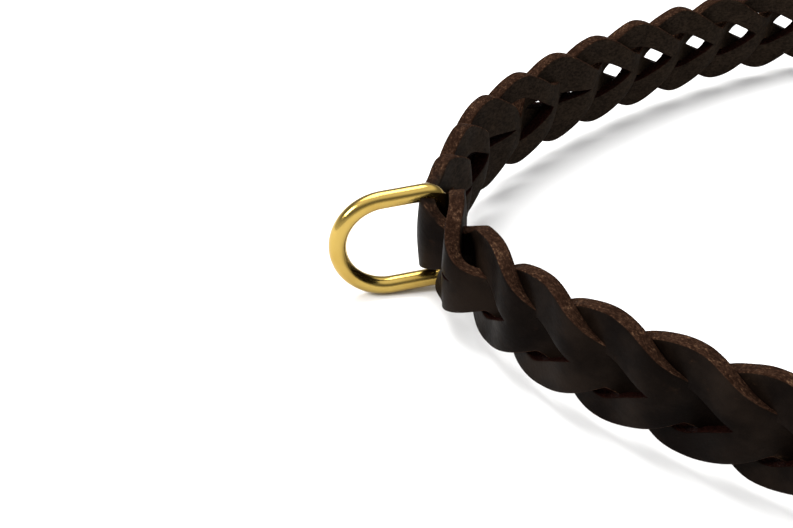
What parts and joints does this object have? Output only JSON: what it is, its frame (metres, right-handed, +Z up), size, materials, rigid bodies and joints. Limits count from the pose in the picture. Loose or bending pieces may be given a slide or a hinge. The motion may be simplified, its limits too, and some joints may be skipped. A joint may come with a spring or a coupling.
{
  "type": "martingale collar",
  "caption": "Slit-braided leather neck band with a D-ring caught in the braid, end rings and a sliding leather control loop with a leash ring.",
  "frame": {"origin": "on the floor under the middle of the collar as it stands on its lower edge", "axes": "+Z up, +X from the D-ring in the braid towards the leash ring, -Y towards the near half of the neck band"},
  "size_m": [0.2976, 0.2242, 0.0294],
  "materials": {
    "braid_leather": "greased dark brown leather, smooth satin faces, rough lighter cut edges",
    "smooth_leather": "greased dark brown leather, satin, with burnished edges",
    "ring_brass": "solid brass, tumbled to a soft polish",
    "rivet_brass": "brass-plated rivet caps, polished",
    "waxed_thread": "dark brown waxed polyester thread"
  },
  "bodies": {
    "braid_tip": {"outer_strap_tip": "braid_leather", "inner_strap_tip": "braid_leather"},
    "near_half": {"near_outer_strap": "braid_leather", "near_inner_strap": "braid_leather", "near_end_tab": "smooth_leather", "near_tab_thread": "waxed_thread", "near_rivet_posts": "rivet_brass", "near_rivet_caps": "rivet_brass"},
    "far_half": {"far_outer_strap": "braid_leather", "far_inner_strap": "braid_leather", "far_end_tab": "smooth_leather", "far_tab_thread": "waxed_thread", "far_rivet_posts": "rivet_brass", "far_rivet_caps": "rivet_brass"},
    "braid_ring": {"braid_d_ring": "ring_brass"},
    "near_ring": {"near_end_ring": "ring_brass"},
    "far_ring": {"far_end_ring": "ring_brass"},
    "control_loop": {"control_strap": "smooth_leather", "leash_ring_patch": "smooth_leather", "loop_rivet_posts": "rivet_brass", "loop_rivet_caps": "rivet_brass"},
    "leash_ring_body": {"leash_ring": "ring_brass"}
  },
  "joints": [
    {"name": "neck_close", "type": "hinge", "parent": "braid_tip", "child": "near_half", "pos_m": [-0.12313, 0, 0.0147], "axis": [0, 0, 1], "range_deg": [0, 2.5]},
    {"name": "far_half_close", "type": "hinge", "parent": "braid_tip", "child": "far_half", "pos_m": [-0.12313, 0, 0.0147], "axis": [0, 0, 1], "range_deg": [-2.5, 0]},
    {"name": "loop_pull", "type": "slide", "parent": "braid_tip", "child": "control_loop", "axis": [1, 0, 0], "range_m": [0, 0.016]},
    {"name": "braid_ring_swing", "type": "hinge", "parent": "braid_tip", "child": "braid_ring", "pos_m": [-0.12573, 0, 0.0132], "axis": [-0.1063, 0, 0.9943], "range_deg": [-35, 25]},
    {"name": "near_ring_swing", "type": "hinge", "parent": "near_half", "child": "near_ring", "pos_m": [0.08229, -0.039, 0.0147], "axis": [0, 0, 1], "range_deg": [-25, 5]},
    {"name": "far_ring_swing", "type": "hinge", "parent": "far_half", "child": "far_ring", "pos_m": [0.08229, 0.039, 0.0147], "axis": [0, 0, 1], "range_deg": [-5, 25]},
    {"name": "leash_ring_swing", "type": "hinge", "parent": "control_loop", "child": "leash_ring_body", "pos_m": [0.12199, 0, 0.0147], "axis": [0, 0, 1], "range_deg": [-60, 60]}
  ],
  "couplings": [
    {"joint": "far_half_close", "follows": "neck_close", "ratio": -1},
    {"joint": "loop_pull", "follows": "neck_close", "m_per_rad": 0.366}
  ]
}
